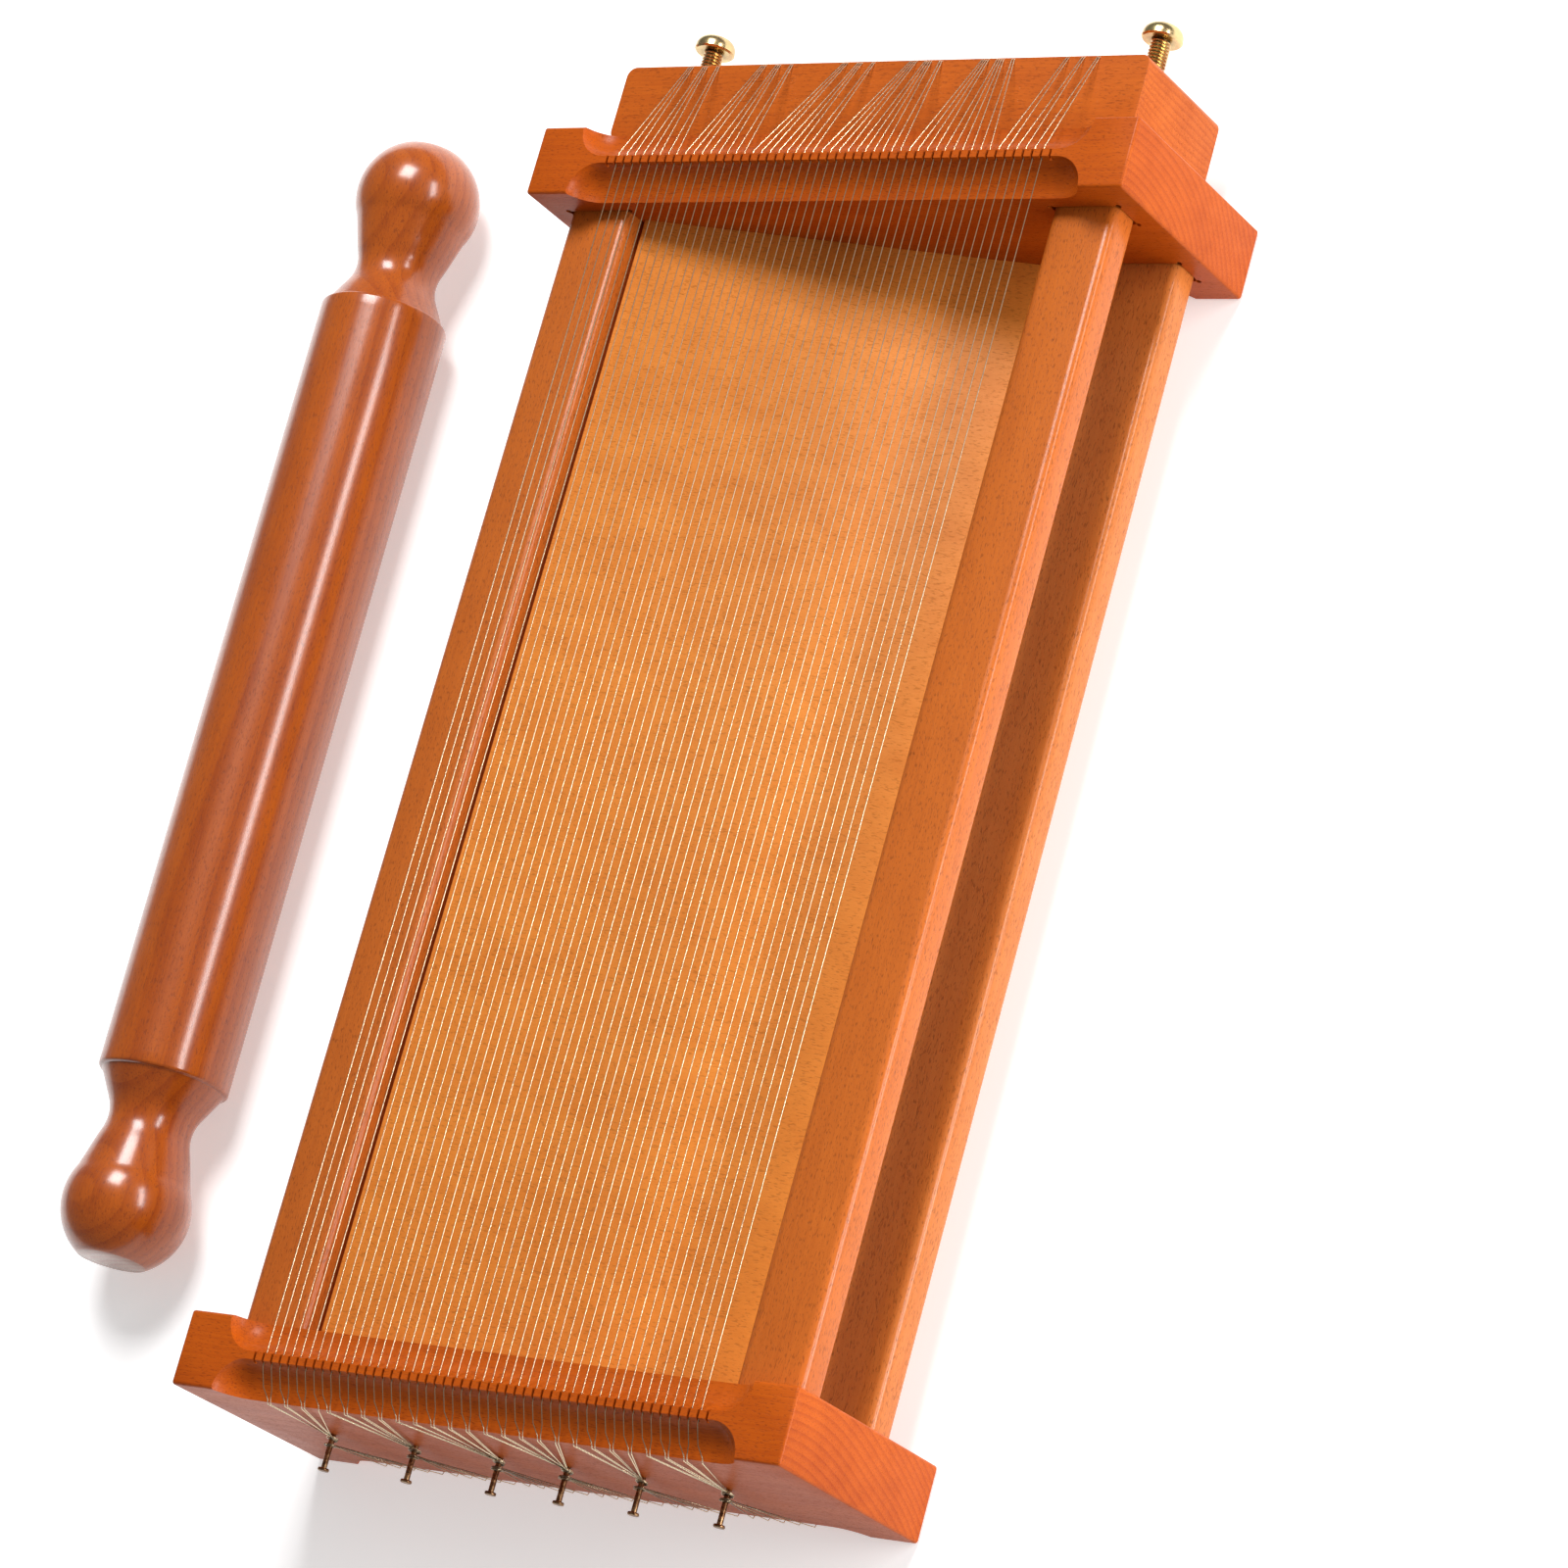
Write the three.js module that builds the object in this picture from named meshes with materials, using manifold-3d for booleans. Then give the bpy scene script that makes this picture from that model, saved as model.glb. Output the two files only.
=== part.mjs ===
// A double-sided wire pasta cutter with its rolling pin.
//
// Two wooden end blocks are joined by four side rails. Steel wires run over the blocks' ridges, close
// together on top and wider apart underneath, and a thin board slants between the two layers so that the
// cut strips slide out at the side. At one end the wires are tied to nails in the block. At the other they
// are tied to nails in a loose bar, which two jack screws push away from the block to tighten them.
//
// Millimetres, +Z up, +Y towards the tension bar. The cutter is centred on its own group's origin; the
// outer group then moves the whole set so that the origin is at the bottom centre of its box.

import * as THREE from 'three';
import { mergeVertices } from 'three/addons/utils/BufferGeometryUtils.js';
import Module from 'manifold-3d';

// Driving dimensions

const clearance = 0.3; // between pieces that touch or fit together

const blockWidth = 200;
const blockThickness = 21;
const blockHeight = 68.6;
const blockSpan = 334; // between the blocks' inner faces
const blockBevel = 0.8;

const coveRadius = 10;
const coveDepth = 6.6; // from the top of the block down to the cove's bottom, at the block's face
const coveHalfLength = 76.6; // to the centre of the cove's round end
const coveSides = 18;

const railWidth = 21.1;
const railThickness = 10.5;
const railOuterX = 92.2;
const railMidOffset = 17.2; // from the block's mid-height to a rail's mid-height
const railRound = 2;
const mortiseDepth = 8;
const reliefRadius = 1.1; // the small round corners that a cutter leaves in a mortise

const boardThickness = 4.1; // measured upright
const boardHighZ = 51.6; // the board's upper face at its high edge, on the left
const boardLowZ = 16.1; // and at its low edge, on the right
const grooveDepth = 4;

const barHalfWidth = 88.3;
const barDepth = 23.1;
const barHeight = 40;
const barGap = 3.2; // between the block and the bar
const barRound = 3;
const barBevel = 0.8;

const screwX = 76;
const screwRadius = 3; // M6
const screwReach = 14.6; // from the bar's face to the underside of the head
const headRadius = 5.9;
const headHeight = 4.6;
const headDome = [[1, 0.4], [0.86, 0.78], [0.55, 1]]; // its outline, as shares of its radius and height
const screwPoint = 0.8; // length and width of the bevel on its tip
const threadGap = 0.1; // between a screw and its insert
const socketRadius = 2;
const socketDepth = 3;
const insertRadius = 4.6;
const insertLength = 13;
const insertFlangeRadius = 6.4;
const insertFlange = 1.2;
const discRadius = 6;
const discThickness = 2;
const turnedSides = 16;

const nailRadius = 0.8;
const nailHeadRadius = 1.65;
const nailHeadThickness = 0.8;
const nailReach = 10.2; // from the wood to the outside of the head
const nailInWood = 12;
const nailPoint = 2;
const nailSides = 8;
const nailZ = blockHeight / 2 - 1;
const anchorNailXs = [-70, -41.5, -13, 9.5, 34, 61.5];
const barNailXs = [-61, -35.5, -7.5, 15.5, 39.5, 66.5];

const wireRadius = 0.3;
const wireOff = wireRadius + clearance + 0.05; // from the wood to a wire's centre line
const kerfWidth = 1.2;
const kerfDepth = 1.4;
const wireDepth = kerfDepth - clearance - wireRadius - 0.05; // from the block's top to the wire's centre
const stringHalfSpread = 71.5;
const topGroups = [7, 8, 10, 10, 8, 7]; // wires on each nail of the plain end block
const topTailGroups = [8, 8, 8, 10, 10, 6]; // and on each nail of the bar
const bottomGroups = [5, 5, 5, 5, 5, 5];
const clustersPerNail = 3;
const clusterSpacing = 5;
const strandRadius = 0.5; // of a cluster's wires where they run together down to the nail
const ridgeRun = 2.4; // how far a wire runs level beyond the ridge before it bends down
const wrapInner = nailRadius + clearance;
const wrapOuter = 2;
const wrapLength = 1.7;
const wrapCrown = 0.3;

const pinRadius = 19.1;
const pinBodyLength = 242;
const pinBallRadius = 18.7;
const pinBallOffset = 38; // from the body's shoulder to the ball's centre
// The waist's curve, as radius and distance out from the body's shoulder, and where the ball takes over
const pinWaist = [[15.5, 4.5], [12.8, 10], [12.4, 15], [14.1, 21]];
const pinBallStart = 16.6;
const pinWaistSteps = 6;
const pinEndRadius = 10.5; // of the flat on each ball
const pinChamfer = 1.2;
const pinSides = 24;
const pinBallSteps = 7;
const pinX = -180.5;
const pinY = 30.5;
const pinTurn = 0.0154; // radians, how far it lies from parallel

// Colours

const stainedBeech = { color: 0xc06a2e, roughness: 0.5, metalness: 0 };
const paleBeech = { color: 0xd08238, roughness: 0.5, metalness: 0 };
const lacqueredBeech = { color: 0xa84a1c, roughness: 0.25, metalness: 0 };
const brightSteel = { color: 0xd6d2cc, roughness: 0.3, metalness: 1 };
const yellowZinc = { color: 0xcdb066, roughness: 0.25, metalness: 1 };
const bronzedSteel = { color: 0x54432e, roughness: 0.45, metalness: 0.9 };

// Solids: three.js geometry in and out of manifold-3d, which joins and cuts

const wasm = await Module();
wasm.setup();

function solid(geometry) {
  geometry.deleteAttribute('normal');
  geometry.deleteAttribute('uv');
  const merged = mergeVertices(geometry);
  const index = Array.from(merged.index.array);
  const corners = [];
  for (let i = 0; i < index.length; i += 3) {
    const [a, b, c] = index.slice(i, i + 3);
    if (a !== b && b !== c && c !== a) corners.push(a, b, c);
  }
  return new wasm.Manifold(new wasm.Mesh({
    numProp: 3,
    vertProperties: new Float32Array(merged.attributes.position.array),
    triVerts: new Uint32Array(corners),
  }));
}

function geometryOf(manifold) {
  const mesh = manifold.getMesh();
  const geometry = new THREE.BufferGeometry();
  geometry.setAttribute('position', new THREE.BufferAttribute(new Float32Array(mesh.vertProperties), 3));
  geometry.setIndex(new THREE.BufferAttribute(new Uint32Array(mesh.triVerts), 1));
  geometry.computeVertexNormals();
  return geometry;
}

const joined = (solids) => solids.reduce((all, next) => all.add(next));
const cut = (body, tools) => body.subtract(joined(tools));

function boxBetween(x0, x1, y0, y1, z0, z1) {
  return new THREE.BoxGeometry(x1 - x0, y1 - y0, z1 - z0)
    .translate((x0 + x1) / 2, (y0 + y1) / 2, (z0 + z1) / 2);
}

function roundedOutline(halfWidth, halfHeight, radius) {
  const [w, h] = [halfWidth - radius, halfHeight - radius];
  const outline = new THREE.Shape();
  outline.absarc(w, h, radius, 0, Math.PI / 2);
  outline.absarc(-w, h, radius, Math.PI / 2, Math.PI);
  outline.absarc(-w, -h, radius, Math.PI, Math.PI * 1.5);
  outline.absarc(w, -h, radius, Math.PI * 1.5, Math.PI * 2);
  return outline;
}

// An outline drawn in x and z, drawn out along y from y0 to y1
function alongY(outline, y0, y1, bevel = 0) {
  return new THREE.ExtrudeGeometry(outline, {
    depth: y1 - y0 - 2 * bevel,
    curveSegments: 2,
    bevelEnabled: bevel > 0,
    bevelSize: bevel,
    bevelThickness: bevel,
    bevelOffset: -bevel,
    bevelSegments: 1,
  }).rotateX(Math.PI / 2).translate(0, y1 - bevel, 0);
}

// A profile of [radius, distance] pairs turned about an axis along y
function turned(profile, sides) {
  const points = profile.map(([radius, distance]) => new THREE.Vector2(radius, distance));
  return new THREE.LatheGeometry(points, sides);
}

const rod = (radius, y0, y1, sides) => new THREE.CylinderGeometry(radius, radius, y1 - y0, sides)
  .translate(0, (y0 + y1) / 2, 0);

// Places worked out from the driving dimensions

const innerY = blockSpan / 2;
const outerY = innerY + blockThickness;
const ridgeY = innerY + blockThickness / 2;
const midZ = blockHeight / 2;
const barInnerY = outerY + barGap;
const barOuterY = barInnerY + barDepth;
const barTopZ = midZ + barHeight / 2;
const barBottomZ = midZ - barHeight / 2;
const railInnerX = railOuterX - railWidth;
const railMidX = railOuterX - railWidth / 2;

const set = new THREE.Group();
const cutter = new THREE.Group();
set.add(cutter);

function addPart(name, geometry, finish, parent = cutter) {
  const mesh = new THREE.Mesh(geometry, new THREE.MeshStandardMaterial(finish));
  mesh.name = name;
  parent.add(mesh);
  return mesh;
}

// Wires are spread evenly across the ridges, and each nail holds the next few of them

function spread(groups) {
  const count = groups.reduce((sum, n) => sum + n);
  const pitch = 2 * stringHalfSpread / (count - 1);
  const xs = Array.from({ length: count }, (_, i) => -stringHalfSpread + i * pitch);
  return groups.map((n) => xs.splice(0, n));
}

const topSpread = spread(topGroups);
const topTailSpread = spread(topTailGroups);
const bottomSpread = spread(bottomGroups);

// End blocks

// A round-nosed cutter that runs along a block's face; top is +1 above and -1 below
function coveTool(faceY, top) {
  const z = midZ + top * (midZ - coveDepth + coveRadius);
  return solid(new THREE.CapsuleGeometry(coveRadius, 2 * coveHalfLength, 3, coveSides)
    .rotateY(Math.PI / coveSides).rotateZ(Math.PI / 2).translate(0, faceY, z));
}

// A saw kerf for each wire, and one spare at each end of the row
function kerfTools(groups, sign, top) {
  const xs = groups.flat();
  const pitch = xs[1] - xs[0];
  const row = [xs[0] - pitch, ...xs, xs[xs.length - 1] + pitch];
  const z = midZ + top * midZ;
  return row.map((x) => solid(boxBetween(
    x - kerfWidth / 2, x + kerfWidth / 2,
    sign * ridgeY - ridgeRun, sign * ridgeY + ridgeRun,
    z - kerfDepth, z + kerfDepth,
  )));
}

// The housing for a rail's end, with the round corners that its cutter leaves
function mortiseTools(side, level, sign) {
  const x = side * railMidX;
  const z = midZ + level * railMidOffset;
  const w = railWidth / 2 + clearance;
  const h = railThickness / 2 + clearance;
  const y0 = sign > 0 ? innerY - 1 : -innerY - mortiseDepth;
  const y1 = sign > 0 ? innerY + mortiseDepth : -innerY + 1;
  const inset = reliefRadius / 3;
  const [cw, ch] = [w - inset, h - inset];
  const corners = [[-cw, -ch], [cw, -ch], [-cw, ch], [cw, ch]];
  return [
    solid(boxBetween(x - w, x + w, y0, y1, z - h, z + h)),
    ...corners.map(([dx, dz]) => solid(rod(reliefRadius, y0, y1, 6).translate(x + dx, 0, z + dz))),
  ];
}

// The board's section: a thin slanting strip with upright edges, grown by a margin on every side
function boardOutline(margin) {
  const reach = railInnerX - clearance + margin;
  const slope = (boardLowZ - boardHighZ) / (2 * railInnerX);
  const topAt = (x) => boardHighZ + slope * (x + railInnerX) + margin;
  const bottomAt = (x) => topAt(x) - boardThickness - 2 * margin;
  return new THREE.Shape([
    new THREE.Vector2(-reach, bottomAt(-reach)),
    new THREE.Vector2(reach, bottomAt(reach)),
    new THREE.Vector2(reach, topAt(reach)),
    new THREE.Vector2(-reach, topAt(-reach)),
  ]);
}

function grooveTool(sign) {
  const y0 = sign > 0 ? innerY - 1 : -innerY - grooveDepth;
  const y1 = sign > 0 ? innerY + grooveDepth : -innerY + 1;
  return solid(alongY(boardOutline(clearance), y0, y1));
}

function endBlock(sign) {
  const y0 = sign > 0 ? innerY : -outerY;
  const outline = roundedOutline(blockWidth / 2, blockHeight / 2, 1);
  const body = solid(alongY(outline, y0, y0 + blockThickness, blockBevel).translate(0, 0, midZ));
  const tools = [grooveTool(sign)];
  for (const top of [-1, 1]) {
    tools.push(coveTool(sign * innerY, top), coveTool(sign * outerY, top));
    tools.push(...kerfTools(top > 0 ? topSpread : bottomSpread, sign, top));
    for (const side of [-1, 1]) tools.push(...mortiseTools(side, top, sign));
  }
  return { body, tools };
}

const nailBlock = endBlock(-1);
for (const x of anchorNailXs) {
  const bore = rod(nailRadius + clearance, -outerY - 1, -outerY + nailInWood + clearance, nailSides);
  nailBlock.tools.push(solid(bore.translate(x, 0, nailZ)));
}
addPart('nail_end_block', geometryOf(cut(nailBlock.body, nailBlock.tools)), stainedBeech);

const tensionBlock = endBlock(1);
for (const side of [-1, 1]) {
  const recess = rod(discRadius + clearance, outerY - discThickness - clearance, outerY + 1, turnedSides);
  tensionBlock.tools.push(solid(recess.translate(side * screwX, 0, midZ)));
}
addPart('tension_end_block', geometryOf(cut(tensionBlock.body, tensionBlock.tools)), stainedBeech);

// Side rails, housed in the blocks at both ends

const sides = { left: -1, right: 1 };
const levels = { upper: 1, lower: -1 };
const railEndY = innerY + mortiseDepth - clearance;
for (const [level, up] of Object.entries(levels)) {
  for (const [name, side] of Object.entries(sides)) {
    const outline = roundedOutline(railWidth / 2, railThickness / 2, railRound);
    const rail = addPart(`${level}_rail_${name}`, alongY(outline, -railEndY, railEndY), stainedBeech);
    rail.position.set(side * railMidX, 0, midZ + up * railMidOffset);
  }
}

const boardEndY = innerY + grooveDepth - clearance;
addPart('slide_board', alongY(boardOutline(0), -boardEndY, boardEndY), paleBeech);

// Tension bar, with a stepped bore for each insert and screw and a bore for each nail

function barSolid() {
  const halfDepth = barDepth / 2;
  const plan = roundedOutline(barHalfWidth, halfDepth, barRound);
  const body = solid(new THREE.ExtrudeGeometry(plan, {
    depth: barHeight - 2 * barBevel,
    curveSegments: 2,
    bevelSize: barBevel,
    bevelThickness: barBevel,
    bevelOffset: -barBevel,
    bevelSegments: 1,
  }).translate(0, barInnerY + halfDepth, barBottomZ + barBevel));
  const tools = [];
  for (const side of [-1, 1]) {
    const steps = [
      rod(screwRadius + clearance, barInnerY - 1, barOuterY + 1, turnedSides),
      rod(insertRadius + clearance, barInnerY - 1, barInnerY + insertLength + clearance, turnedSides),
      rod(insertFlangeRadius + clearance, barInnerY - 1, barInnerY + insertFlange + clearance, turnedSides),
    ];
    tools.push(...steps.map((step) => solid(step.translate(side * screwX, 0, midZ))));
  }
  for (const x of barNailXs) {
    const bore = rod(nailRadius + clearance, barOuterY - nailInWood - clearance, barOuterY + 1, nailSides);
    tools.push(solid(bore.translate(x, 0, nailZ)));
  }
  return cut(body, tools);
}

addPart('tension_bar', geometryOf(barSolid()), stainedBeech);

// Jack screws, the threaded inserts that they turn in, and the discs that they press on

function screwSolid() {
  const tip = outerY + clearance;
  const seat = barOuterY + screwReach;
  const profile = [
    [0, tip], [screwRadius - screwPoint, tip], [screwRadius, tip + screwPoint], [screwRadius, seat],
    [headRadius, seat],
    ...headDome.map(([width, height]) => [width * headRadius, seat + height * headHeight]),
    [0, seat + headHeight],
  ];
  const socket = rod(socketRadius, seat + headHeight - socketDepth, seat + headHeight + 1, 6);
  return cut(solid(turned(profile, turnedSides)), [solid(socket)]);
}

// The bore's flats stay clear of the screw's corners as it turns
function insertProfile() {
  const bore = (screwRadius + threadGap) / Math.cos(Math.PI / turnedSides);
  const end = barInnerY + insertLength;
  const step = barInnerY + insertFlange;
  return [
    [bore, barInnerY], [insertFlangeRadius, barInnerY], [insertFlangeRadius, step],
    [insertRadius, step], [insertRadius, end], [bore, end], [bore, barInnerY],
  ];
}

for (const [name, side] of Object.entries(sides)) {
  const pieces = [
    addPart(`tension_screw_${name}`, geometryOf(screwSolid()), yellowZinc),
    addPart(`threaded_insert_${name}`, turned(insertProfile(), turnedSides), brightSteel),
    addPart(
      `bearing_disc_${name}`, rod(discRadius, outerY - discThickness, outerY, turnedSides), brightSteel,
    ),
  ];
  for (const piece of pieces) piece.position.set(side * screwX, 0, midZ);
}

// Nails: a point in the wood, a shank and a flat head, pointing along y

function nailGeometry(faceY, out) {
  const underHead = nailReach - nailHeadThickness;
  const profile = [
    [0, -nailInWood], [nailRadius, nailPoint - nailInWood], [nailRadius, underHead],
    [nailHeadRadius, underHead], [nailHeadRadius, nailReach], [0, nailReach],
  ];
  const nail = turned(profile, nailSides);
  if (out < 0) nail.rotateX(Math.PI);
  return nail.translate(0, faceY, 0);
}

anchorNailXs.forEach((x, i) => {
  addPart(`anchor_nail_${i + 1}`, nailGeometry(-outerY, -1), bronzedSteel).position.set(x, 0, nailZ);
});
barNailXs.forEach((x, i) => {
  addPart(`bar_nail_${i + 1}`, nailGeometry(barOuterY, 1), bronzedSteel).position.set(x, 0, nailZ);
});

// Wires: each runs through a list of bends, and all on one nail are joined at the turns wrapped round it

class WireRoute extends THREE.Curve {
  constructor(bends) {
    super();
    this.bends = bends;
  }

  getPointAt(u) {
    return this.bends[Math.round(u * (this.bends.length - 1))].clone();
  }

  getTangentAt(u) {
    const at = Math.round(u * (this.bends.length - 1));
    const before = this.bends[Math.max(at - 1, 0)];
    const after = this.bends[Math.min(at + 1, this.bends.length - 1)];
    const here = this.bends[at];
    const ways = [here.clone().sub(before), after.clone().sub(here)].map((way) => way.normalize());
    return ways[0].add(ways[1]).normalize();
  }
}

const wireSides = 3;

function wire(points, radius = wireRadius) {
  const bends = points.map((point) => new THREE.Vector3(...point));
  const section = new THREE.Shape(Array.from({ length: wireSides }, (_, i) => {
    const angle = 2 * Math.PI * i / wireSides;
    return new THREE.Vector2(radius * Math.cos(angle), radius * Math.sin(angle));
  }));
  return solid(new THREE.ExtrudeGeometry(section, {
    steps: bends.length - 1,
    extrudePath: new WireRoute(bends),
  }));
}

// The turns of wire round a nail, as a crowned sleeve starting at y0
function wrap(x, y0) {
  const profile = [
    [wrapInner, 0], [wrapOuter - wrapCrown, 0], [wrapOuter, wrapLength / 2],
    [wrapOuter - wrapCrown, wrapLength], [wrapInner, wrapLength], [wrapInner, 0],
  ];
  return solid(turned(profile, nailSides).translate(x, y0, nailZ));
}

// Where a wire that comes from (x, z) enters the wrap round the nail at nailX
function wrapEntry(nailX, y, x, z) {
  const way = new THREE.Vector2(x - nailX, z - nailZ).normalize().multiplyScalar((wrapInner + wrapOuter) / 2);
  return [nailX + way.x, y, nailZ + way.y];
}

// From the block's top or bottom to a wire bent over its outer edge
const coveEdge = coveDepth - wireOff;
const kerfZ = { '1': blockHeight - wireDepth, '-1': wireDepth };
const edgeZ = { '1': blockHeight - coveEdge, '-1': coveEdge };
const barEdgeZ = { '1': barTopZ + wireOff, '-1': barBottomZ - wireOff };

// From a nail of the plain block, over its edge and ridge, to the far block's ridge
function stringGroup(nailX, xs, top) {
  const wrapY = -outerY - clearance - (top > 0 ? wrapLength : 2 * wrapLength + clearance);
  const entryY = wrapY + wrapLength / 2;
  const edgeY = -outerY - wireOff;
  const strings = xs.map((x) => wire([
    wrapEntry(nailX, top > 0 ? edgeY : entryY, x, edgeZ[top]),
    [x, edgeY, edgeZ[top]],
    [x, -ridgeY - ridgeRun, kerfZ[top]],
    [x, ridgeY, kerfZ[top]],
  ]));
  return joined([wrap(nailX, wrapY), ...strings]);
}

topSpread.forEach((xs, i) => {
  addPart(`top_strings_${i + 1}`, geometryOf(stringGroup(anchorNailXs[i], xs, 1)), brightSteel);
});
bottomSpread.forEach((xs, i) => {
  addPart(`bottom_strings_${i + 1}`, geometryOf(stringGroup(anchorNailXs[i], xs, -1)), brightSteel);
});

// From the far ridge to a few bends on the bar's edge, and from each bend as one strand to the nail
function tails(nailX, xs, top) {
  const perCluster = Math.ceil(xs.length / clustersPerNail);
  const edgeY = barOuterY + strandRadius + clearance;
  const edgeZ = barEdgeZ[top];
  const bendX = (cluster) => nailX + (cluster - 1) * clusterSpacing;
  const wires = xs.map((x, i) => wire([
    [x, ridgeY + clearance, kerfZ[top]],
    [x, ridgeY + ridgeRun, kerfZ[top]],
    [bendX(Math.floor(i / perCluster)), edgeY, edgeZ],
  ]));
  const strands = Array.from({ length: clustersPerNail }, (_, cluster) => wire([
    [bendX(cluster), edgeY, edgeZ + top * strandRadius],
    wrapEntry(nailX, edgeY, bendX(cluster), edgeZ),
  ], strandRadius));
  return [...wires, ...strands];
}

barNailXs.forEach((x, i) => {
  const strands = [...tails(x, topTailSpread[i], 1), ...tails(x, bottomSpread[i], -1)];
  const knot = wrap(x, barOuterY + clearance);
  addPart(`string_tails_${i + 1}`, geometryOf(joined([knot, ...strands])), brightSteel);
});

// Rolling pin: a straight body, and at each end a waist that swells into a ball with a flat end

function pinEnd() {
  const half = pinBodyLength / 2;
  const points = [[pinRadius, half - pinChamfer], [pinRadius - pinChamfer, half]];
  const bends = [[pinRadius - pinChamfer, 0], ...pinWaist];
  const curve = bends.map(([radius, out]) => new THREE.Vector3(radius, half + out, 0));
  const waist = new THREE.CatmullRomCurve3(curve);
  for (const point of waist.getPoints(pinWaistSteps).slice(1)) points.push([point.x, point.y]);
  const centre = half + pinBallOffset;
  const from = Math.acos(pinBallStart / pinBallRadius);
  const to = Math.acos(pinEndRadius / pinBallRadius);
  for (let i = 0; i <= pinBallSteps; i += 1) {
    const angle = -from + (from + to) * i / pinBallSteps;
    points.push([pinBallRadius * Math.cos(angle), centre + pinBallRadius * Math.sin(angle)]);
  }
  return points;
}

const pinTop = pinEnd();
const pinBottom = pinTop.map(([radius, distance]) => [radius, -distance]).reverse();
const pinTip = pinTop[pinTop.length - 1][1];
const pinProfile = [[0, -pinTip], ...pinBottom, ...pinTop, [0, pinTip]];
const pin = addPart('rolling_pin', turned(pinProfile, pinSides), lacqueredBeech);
pin.position.set(pinX, pinY, pinRadius);
pin.rotation.z = pinTurn;

// The set's origin is at the bottom centre of its box

const box = new THREE.Box3().setFromObject(set, true);
cutter.position.set(-(box.min.x + box.max.x) / 2, -(box.min.y + box.max.y) / 2, 0);

export default set;
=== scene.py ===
# %% [markdown]
# # A wire pasta cutter and its rolling pin
#
# The cutter is a small stringed frame. Two notched beech blocks are joined by four rails, steel wires run
# over the blocks in two layers, and a thin board slants between the layers. A loose bar at one end holds
# the wires' nails, and two brass-coloured screws push it away from its block to pull the wires tight. A
# turned rolling pin lies beside it.
#
# The solid model is loaded first, and every size and place below is read from it. The looks are then made
# piece by piece: wood with rounded edges and saw cuts, real screw threads, twisted wire ends and knots.

# %% Load the frame
import math
import random

import bmesh
import bpy
import numpy as np
from mathutils import Matrix, Vector


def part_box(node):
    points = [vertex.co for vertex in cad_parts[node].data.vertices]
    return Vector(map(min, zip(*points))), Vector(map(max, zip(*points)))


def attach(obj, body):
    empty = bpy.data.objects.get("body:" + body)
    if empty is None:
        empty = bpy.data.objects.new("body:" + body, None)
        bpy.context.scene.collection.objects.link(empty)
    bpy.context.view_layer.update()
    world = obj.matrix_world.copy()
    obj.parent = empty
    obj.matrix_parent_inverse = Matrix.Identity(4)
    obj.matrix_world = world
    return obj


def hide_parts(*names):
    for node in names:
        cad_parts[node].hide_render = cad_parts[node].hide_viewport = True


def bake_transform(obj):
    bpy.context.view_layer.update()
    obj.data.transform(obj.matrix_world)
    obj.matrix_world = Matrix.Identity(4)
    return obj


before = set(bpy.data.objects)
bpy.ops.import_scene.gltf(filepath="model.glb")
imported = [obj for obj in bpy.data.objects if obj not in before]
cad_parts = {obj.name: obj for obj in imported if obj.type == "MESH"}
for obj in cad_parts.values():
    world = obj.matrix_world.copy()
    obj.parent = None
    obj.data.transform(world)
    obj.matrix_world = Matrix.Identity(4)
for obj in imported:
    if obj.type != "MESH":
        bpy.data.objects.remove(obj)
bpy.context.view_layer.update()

MM = 0.001

# %% [markdown]
# ## Measures
#
# A maker works from a few measured faces. The blocks' faces give the cutter's centre, the span of the
# wires and the height of the ridges, so that nothing has to be fitted by eye afterwards.

# %% Read the blocks and the bar
near_low, near_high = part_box("nail_end_block")
far_low, far_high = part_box("tension_end_block")
bar_low, bar_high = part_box("tension_bar")
centre = Vector(((near_low.x + near_high.x) / 2, (near_high.y + far_low.y) / 2, 0))
block_height = near_high.z
mid_z = block_height / 2
near_face, far_face = near_low.y, far_high.y
near_ridge = (near_low.y + near_high.y) / 2
far_ridge = (far_low.y + far_high.y) / 2
print("cutter centre:", list(centre), "block height:", block_height, "bar depth:", bar_high.y - bar_low.y)

# %% [markdown]
# ## Camera
#
# A long lens stands high to the right of the cutter's plain end and looks down its length. The camera is
# rolled, so that the cutter leans across the picture, as product pictures often do.

# %% Place the camera
camera_data = bpy.data.cameras.new("camera")
camera = bpy.data.objects.new("camera", camera_data)
bpy.context.scene.collection.objects.link(camera)
bpy.context.scene.camera = camera
camera_data.lens = 141.59
camera_data.sensor_width = 36
camera_data.clip_end = 20
look = Vector((-0.57868, 0.28517, -0.76407)).normalized()
level_right = look.cross(Vector((0, 1, 0))).normalized()
level_up = level_right.cross(look)
roll = math.radians(15.45)
right = level_right * math.cos(roll) + level_up * math.sin(roll)
up = level_up * math.cos(roll) - level_right * math.sin(roll)
stand = centre + Vector((0.98047, -0.46834, 1.30405))
turn = Matrix((right, up, -look)).transposed().to_4x4()
camera.matrix_world = Matrix.Translation(stand) @ turn
print("camera at", [round(v, 3) for v in camera.location])

# %% [markdown]
# ## Making meshes
#
# Most pieces here are one of two kinds. A turned piece, a wire or a thread is a row of rings with skin
# between them, so one function that skins rings makes them all. Sawn pieces start as a box with rounded
# edges and are then cut with tools, as a router and a saw would cut them.

# %% Put a mesh in the scene
def show(name, mesh):
    piece = bpy.data.objects.new(name, mesh)
    bpy.context.scene.collection.objects.link(piece)
    return piece


def show_shape(name, shape):
    """A piece from a finished bmesh, which isn't needed after that."""
    mesh = bpy.data.meshes.new(name)
    shape.to_mesh(mesh)
    shape.free()
    return show(name, mesh)


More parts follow.
